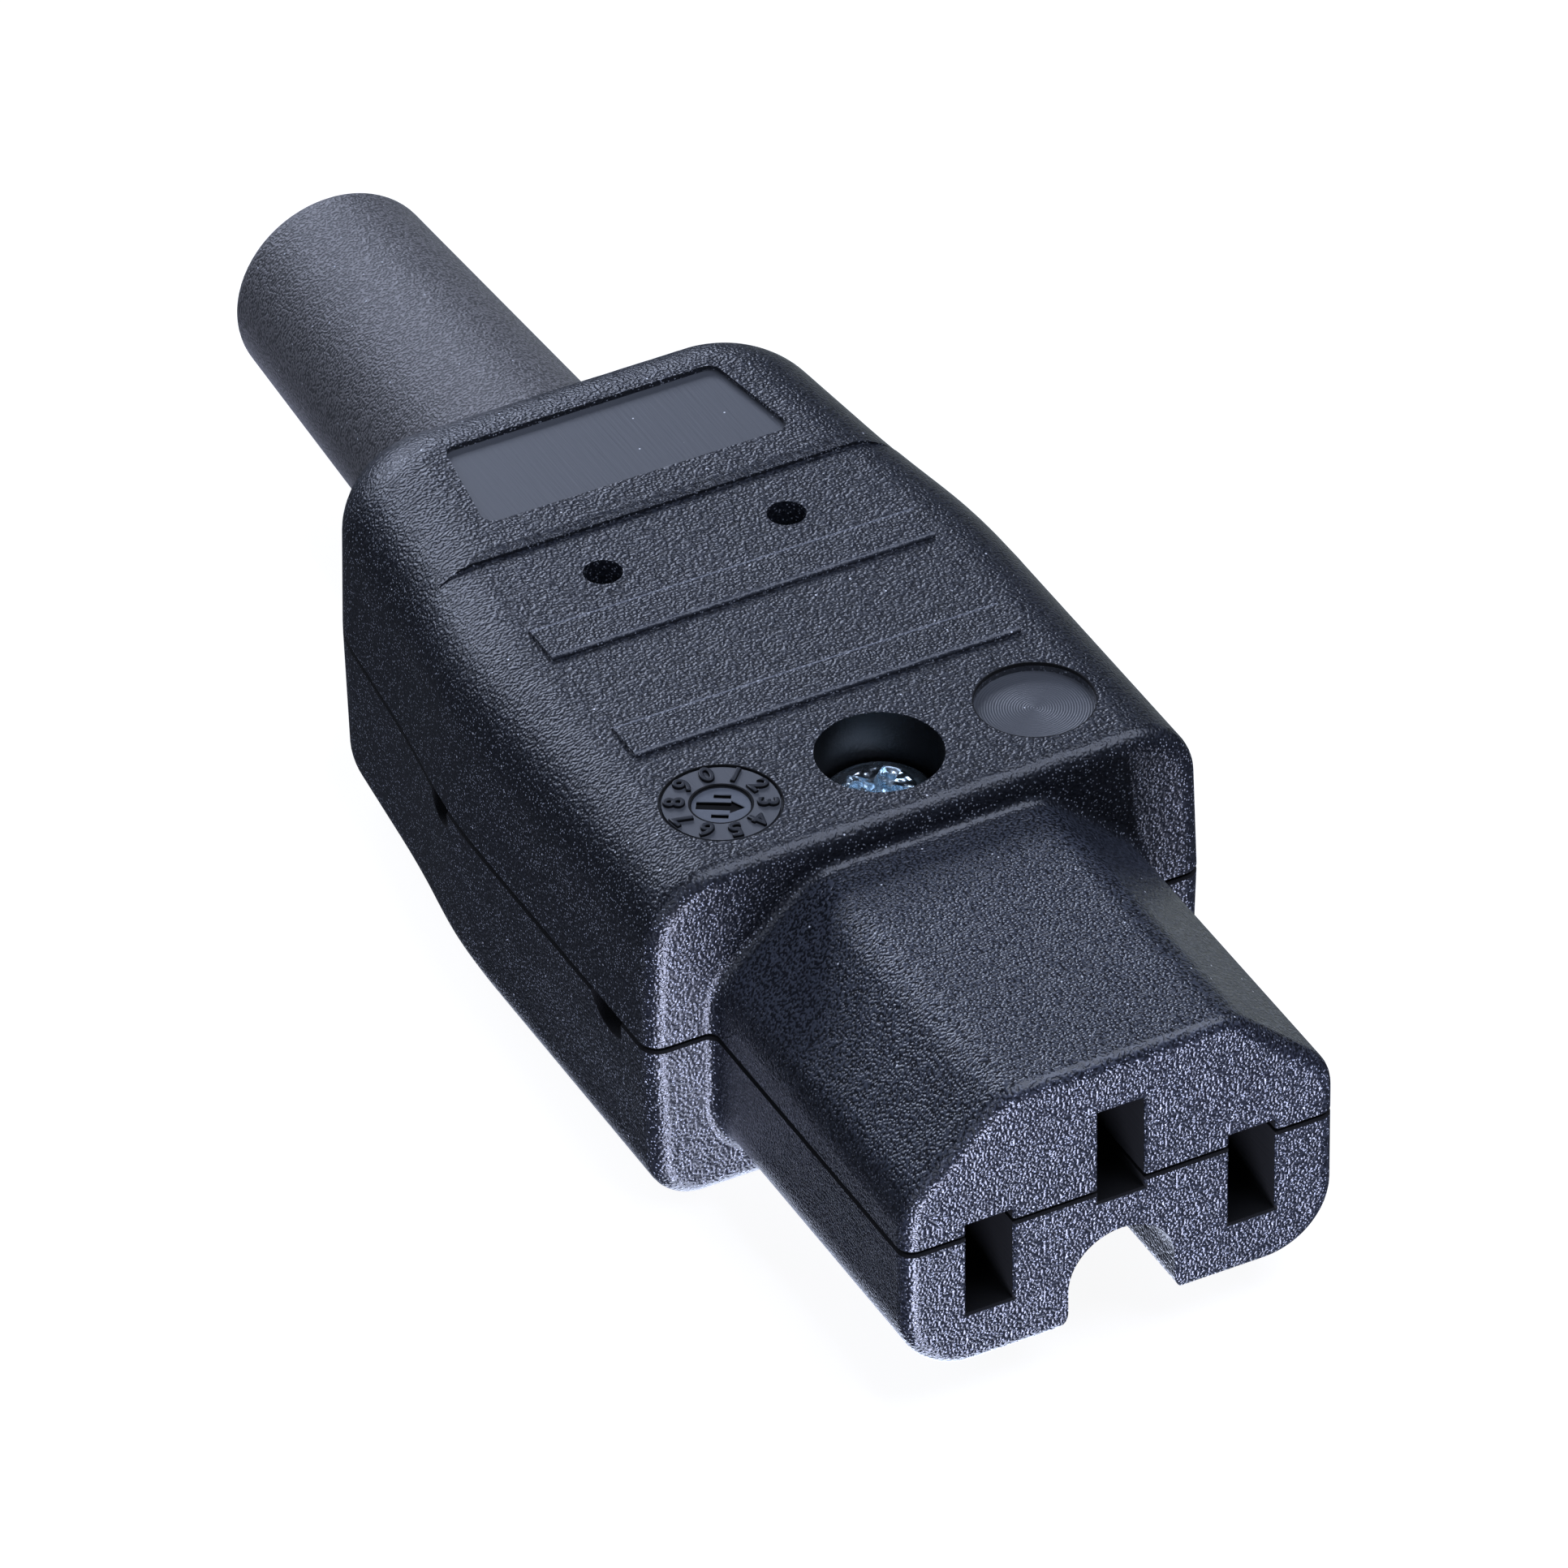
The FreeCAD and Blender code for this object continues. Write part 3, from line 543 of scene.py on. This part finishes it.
def rim_notches(tree, y, z):
    """1 in the prying notches under the parting line, upright at the front, with an arc for a floor."""
    side = put(tree, "CombineXYZ", {0: y, 1: z}).outputs[0]
    share = 0.0
    for front, length in notch_places:
        rear = Vector((front + length, 0))
        belly = Vector((front + length / 2, -notch_belly))
        centre = arc_centre(Vector((front, -notch_depth)), belly, rear)
        reach = (rear - centre).length + notch_skin
        inside = both(tree, under(tree, away_from(tree, side, centre), reach), under(tree, z, 0.0))
        inside = both(tree, inside, over(tree, y, front - notch_skin))
        share = either(tree, share, inside)
    return share


def inside_slots(tree, x, y, z):
    """1 on the walls of the blade slots behind their bevelled mouths, and on the sills of the mouths."""
    walls = 0.0
    sills = 0.0
    for slot_x, slot_z in slot_places:
        across = calc(tree, "ABSOLUTE", calc(tree, "SUBTRACT", x, slot_x))
        drop = calc(tree, "SUBTRACT", slot_z, z)
        in_width = under(tree, across, slot_half_width + slot_skin)
        in_height = under(tree, calc(tree, "ABSOLUTE", drop), slot_half_height + slot_skin)
        walls = either(tree, walls, both(tree, in_width, in_height))
        level = {0: drop, 1: slot_half_height, 2: slot_mouth}
        sill = put(tree, "Math", level, operation="COMPARE").outputs[0]
        on_edge = under(tree, across, slot_half_width + slot_mouth)
        sills = either(tree, sills, both(tree, sill, on_edge))
    walls = both(tree, walls, over(tree, y, slot_mouth))
    sills = both(tree, sills, over(tree, y, slot_skin))
    return either(tree, walls, sills)


def sleeve_rubber():
    """Matte black rubber with a fine mould texture and dust in it."""
    material, tree, skin, where = new_finish("black_matte_rubber")
    fine = remap(tree, noise(tree, where, rubber_scale, 0.0), noise_low, noise_high)
    relief(tree, skin, fine, rubber_depth)
    slow = noise(tree, where, rubber_cloud_scale, cloud_detail)
    shade = mix_colour(tree, slow, rubber_black, rubber_grey)
    shade = mix_colour(tree, fine, shade, rubber_bloom)
    dust = specks(tree, where, dust_scale, dust_size, dust_share)
    shade = mix_colour(tree, calc(tree, "MULTIPLY", dust, dust_strength), shade, dust_grey)
    tree.links.new(shade, skin.inputs["Base Color"])
    skin.inputs["Sheen Weight"].default_value = rubber_sheen
    skin.inputs["Sheen Roughness"].default_value = rubber_sheen_roughness
    gloss = cloudy_gloss(tree, where, rubber_gloss_scale, rubber_gloss)
    tree.links.new(gloss, skin.inputs["Roughness"])
    return material


def plated_steel():
    """Zinc-plated steel with a bluish passivated film, dented in the driver's recess."""
    material, tree, skin, where = new_finish("blue_zinc_plating")
    skin.inputs["Metallic"].default_value = 1.0
    film = noise(tree, where, film_scale, cloud_detail)
    shade = mix_colour(tree, remap(tree, film, *film_band), film_blue, film_pale)
    tree.links.new(shade, skin.inputs["Base Color"])
    gloss = cloudy_gloss(tree, where, plating_gloss_scale, plating_gloss)
    tree.links.new(gloss, skin.inputs["Roughness"])
    x, y, _ = put(tree, "SeparateXYZ", {0: where}).outputs
    flat = put(tree, "CombineXYZ", {0: x, 1: y}).outputs[0]
    recess = disc_share(tree, flat, counterbore_centre, recess_radius, recess_edge)
    waves = calc(tree, "MULTIPLY", film, film_relief)
    dents = mix_value(tree, recess, waves, noise(tree, where, dent_scale, 0.0))
    relief(tree, skin, dents, recess_dents)
    return material


def contact_brass():
    """Rolled brass strip, slightly tarnished."""
    material, tree, skin, where = new_finish("rolled_brass")
    skin.inputs["Metallic"].default_value = 1.0
    drawn = put(tree, "Mapping", {"Vector": where, "Scale": roll_stretch}).outputs[0]
    lines = noise(tree, drawn, roll_scale, 2.0)
    tarnish = remap(tree, noise(tree, where, tarnish_scale, cloud_detail), *tarnish_band)
    shade = mix_colour(tree, tarnish, brass_bright, brass_dull)
    tree.links.new(shade, skin.inputs["Base Color"])
    gloss = remap(tree, lines, noise_low, noise_high, *roll_gloss)
    tree.links.new(gloss, skin.inputs["Roughness"])
    relief(tree, skin, lines, roll_depth)
    return material


def clamp_plastic():
    """Plain moulded nylon of the cord clamp."""
    material, tree, skin, where = new_finish("dark_nylon")
    slow = noise(tree, where, nylon_cloud_scale, cloud_detail)
    shade = mix_colour(tree, slow, nylon_black, nylon_grey)
    tree.links.new(shade, skin.inputs["Base Color"])
    gloss = cloudy_gloss(tree, where, nylon_gloss_scale, nylon_gloss)
    tree.links.new(gloss, skin.inputs["Roughness"])
    relief(tree, skin, noise(tree, where, nylon_scale, 2.0), nylon_depth)
    return material


def raised_plastic(name, dull, bright):
    """The housing's plastic on raised marks: rubbed tops between two shades, steep sides painted black
    as shade.
    """
    material, tree, skin, where = new_finish(name)
    facing = put(tree, "SeparateXYZ", {0: put(tree, "NewGeometry").outputs["Normal"]})
    top = remap(tree, facing.outputs["Z"], *mark_top_band)
    rub = noise(tree, where, rub_scale, 2.0)
    worn_top = mix_colour(tree, rub, dull, bright)
    skin.inputs["Specular IOR Level"].default_value = mark_specular
    # Steep sides of the marks are painted black as shade.
    tree.links.new(mix_colour(tree, top, painted_shade_black, worn_top), skin.inputs["Base Color"])
    gloss = mix_value(tree, top, mark_side_roughness, mark_top_roughness)
    tree.links.new(gloss, skin.inputs["Roughness"])
    relief(tree, skin, rub, rub_depth)
    return material


def dress_nodes(finishes):
    """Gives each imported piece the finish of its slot."""
    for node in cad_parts.values():
        slots = node.data.materials
        for index, old in enumerate(slots):
            slots[index] = finishes[old.name]


def flat_mesh(curve, name):
    """Turns a flat curve or a text into a mesh object with clean, outward faces."""
    source = bpy.data.objects.new(name, curve)
    bpy.context.scene.collection.objects.link(source)
    bpy.context.view_layer.update()
    ready = source.evaluated_get(bpy.context.evaluated_depsgraph_get())
    mesh = bpy.data.meshes.new_from_object(ready)
    bpy.data.objects.remove(source)
    shape = bmesh.new()
    shape.from_mesh(mesh)
    bmesh.ops.remove_doubles(shape, verts=shape.verts, dist=merge_distance)
    bmesh.ops.recalc_face_normals(shape, faces=shape.faces)
    shape.to_mesh(mesh)
    shape.free()
    piece = bpy.data.objects.new(name, mesh)
    bpy.context.scene.collection.objects.link(piece)
    return piece


def settle(piece, place, finish):
    """Moves the mesh to its place on the part and lets the piece ride with it."""
    piece.data.transform(place)
    piece.data.materials.clear()
    piece.data.materials.append(finish)
    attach(piece, "root")


def clockwise(centre, turn, radius, height):
    """Place on a dial: turned clockwise from the cord side, pushed out by radius, raised to height."""
    spot = Matrix.Translation((centre.x, centre.y, height))
    return spot @ Matrix.Rotation(-turn, 4, "Z") @ Matrix.Translation((0, radius, 0))


def dial_numbers(finish):
    """Raised numbers around the dial, each with its head outwards."""
    face = body_top - dial_sink
    for number in range(number_count):
        text = bpy.data.curves.new("number", "FONT")
        text.body = str(number)
        text.align_x = "CENTER"
        text.size = number_height / number_font_share
        text.offset = number_bold
        text.extrude = number_rise / 2
        text.bevel_depth = number_edge
        text.bevel_resolution = number_edge_steps
        piece = flat_mesh(text, "dial_number_" + str(number))
        low = min(vertex.co.y for vertex in piece.data.vertices)
        high = max(vertex.co.y for vertex in piece.data.vertices)
        centred = Matrix.Translation((0, -(low + high) / 2, 0))
        turn = number_first_turn + number * 2 * math.pi / number_count
        place = clockwise(dial_centre, turn, number_radius, face)
        settle(piece, place @ centred, finish)


def outline(curve, points):
    """Adds a closed straight-sided loop to a flat curve."""
    loop = curve.splines.new("POLY")
    loop.points.add(len(points) - 1)
    for point, (x, y) in zip(loop.points, points):
        point.co = (x, y, 0, 1)
    loop.use_cyclic_u = True


def round_outline(curve, radius, steps):
    """Adds a circle of straight steps to a flat curve."""
    turns = [2 * math.pi * step / steps for step in range(steps)]
    outline(curve, [(radius * math.cos(turn), radius * math.sin(turn)) for turn in turns])


def dial_hub(finish):
    """Disc in the middle of the dial, with a slot in the form of an arrow and two short marks."""
    curve = bpy.data.curves.new("hub", "CURVE")
    curve.dimensions = "2D"
    curve.fill_mode = "BOTH"
    curve.extrude = hub_thickness / 2
    round_outline(curve, hub_radius - hub_gap, hub_steps)
    tip = arrow_length / 2
    neck = tip - arrow_head_length
    shaft = arrow_shaft / 2
    barb = arrow_head_width / 2
    tail = [(-shaft, -tip), (shaft, -tip)]
    head = [(shaft, neck), (barb, neck), (0, tip), (-barb, neck), (-shaft, neck)]
    outline(curve, tail + head)
    for hand in (-1, 1):
        near = hand * mark_offset - mark_width / 2
        far = hand * mark_offset + mark_width / 2
        half = mark_length / 2
        outline(curve, [(near, -half), (far, -half), (far, half), (near, half)])
    piece = flat_mesh(curve, "dial_hub")
    height = body_top - hub_depth + hub_thickness / 2
    settle(piece, clockwise(dial_centre, arrow_turn, 0, height), finish)


def aimed(place, target):
    """Stands something at place with its -Z side towards target."""
    look = (target - place).to_track_quat("-Z", "Y").to_matrix().to_4x4()
    return Matrix.Translation(place) @ look


def studio_light():
    """Rectangular soft lights of an even brightness, each unseen by the camera.

    The back box lights the top, the front box the front faces from below, as a white table does, and
    the edge box the rounded front edges. The top lamp reaches the screw, the rim, left and side boxes
    the flanks, and the table and sleeve lamps the undersides of nose and sleeve.
    """
    for lamp in lamps:
        light = bpy.data.lights.new(lamp.name, "AREA")
        light.shape = "RECTANGLE"
        light.size = lamp.width
        light.size_y = lamp.height
        light.energy = lamp.radiance * math.pi * lamp.width * lamp.height
        light.color = lamp.tint
        box = bpy.data.objects.new(lamp.name, light)
        place = lamp.target + Vector(lamp.direction).normalized() * lamp.distance
        box.matrix_world = aimed(place, lamp.target)
        box.visible_camera = False
        bpy.context.scene.collection.objects.link(box)


def studio_world():
    """A low even fill for the part."""
    world = bpy.data.worlds.new("studio")
    bpy.context.scene.world = world
    world.use_nodes = True
    ground = world.node_tree.nodes["Background"]
    ground.inputs["Color"].default_value = (*cool_white, 1)
    ground.inputs["Strength"].default_value = fill_strength


def stage_piece(shape, name, diffuse, glow, one_sided=False):
    """White part of the stage, which lights nothing and is mirrored by nothing.

    A one-sided part can be seen through from behind.
    """
    mesh = bpy.data.meshes.new(name)
    shape.to_mesh(mesh)
    shape.free()
    piece = bpy.data.objects.new(name, mesh)
    bpy.context.scene.collection.objects.link(piece)
    material, tree, skin, _ = new_finish("white_" + name)
    skin.inputs["Base Color"].default_value = (diffuse, diffuse, diffuse, 1)
    skin.inputs["Roughness"].default_value = stage_roughness
    skin.inputs["Specular IOR Level"].default_value = 0.0
    skin.inputs["Emission Color"].default_value = (1, 1, 1, 1)
    skin.inputs["Emission Strength"].default_value = glow
    if one_sided:
        clear = put(tree, "BsdfTransparent").outputs[0]
        behind = put(tree, "NewGeometry").outputs["Backfacing"]
        front_only = put(tree, "MixShader", {0: behind, 1: skin.outputs[0], 2: clear})
        tree.links.new(front_only.outputs[0], tree.nodes["Material Output"].inputs["Surface"])
    mesh.materials.append(material)
    piece.visible_diffuse = False
    piece.visible_glossy = False
    piece.visible_shadow = False


def studio_stage():
    """Translucent white table that takes the part's soft shadow, in a white tent."""
    table = bmesh.new()
    bmesh.ops.create_grid(table, x_segments=1, y_segments=1, size=table_half)
    bmesh.ops.translate(table, verts=table.verts, vec=(0, 0, cad_low.z - table_gap))
    stage_piece(table, "table", table_white, table_glow, one_sided=True)
    tent = bmesh.new()
    bmesh.ops.create_uvsphere(tent, u_segments=tent_segments, v_segments=tent_rings, radius=tent_radius)
    stage_piece(tent, "tent", 0.0, tent_glow)


def photo_camera():
    """Long lens at the photograph's angle."""
    flat_right = Vector((math.cos(view_azimuth), math.sin(view_azimuth), 0))
    level = math.cos(view_elevation)
    towards = (math.sin(view_azimuth) * level, -math.cos(view_azimuth) * level)
    back = Vector((*towards, math.sin(view_elevation)))
    up = back.cross(flat_right)
    right = math.cos(view_roll) * flat_right - math.sin(view_roll) * up
    up = back.cross(right)
    eye = view_target + back * view_distance
    camera = bpy.data.cameras.new("photo_camera")
    camera.lens = view_lens
    camera.sensor_width = view_sensor
    camera.clip_start = view_clip
    stand = bpy.data.objects.new("photo_camera", camera)
    stand.matrix_world = Matrix((
        (right.x, up.x, back.x, eye.x),
        (right.y, up.y, back.y, eye.y),
        (right.z, up.z, back.z, eye.z),
        (0, 0, 0, 1),
    ))
    bpy.context.scene.collection.objects.link(stand)
    bpy.context.scene.camera = stand


dress_nodes({
    "housing plastic": housing_plastic(),
    "sleeve rubber": sleeve_rubber(),
    "zinc steel": plated_steel(),
    "contact brass": contact_brass(),
    "clamp plastic": clamp_plastic(),
})
dial_numbers(raised_plastic("black_number_plastic", number_dull, number_bright))
dial_hub(raised_plastic("grey_hub_plastic", hub_dull, hub_bright))
studio_stage()
studio_light()
studio_world()
photo_camera()
bpy.context.scene.view_settings.view_transform = "Standard"
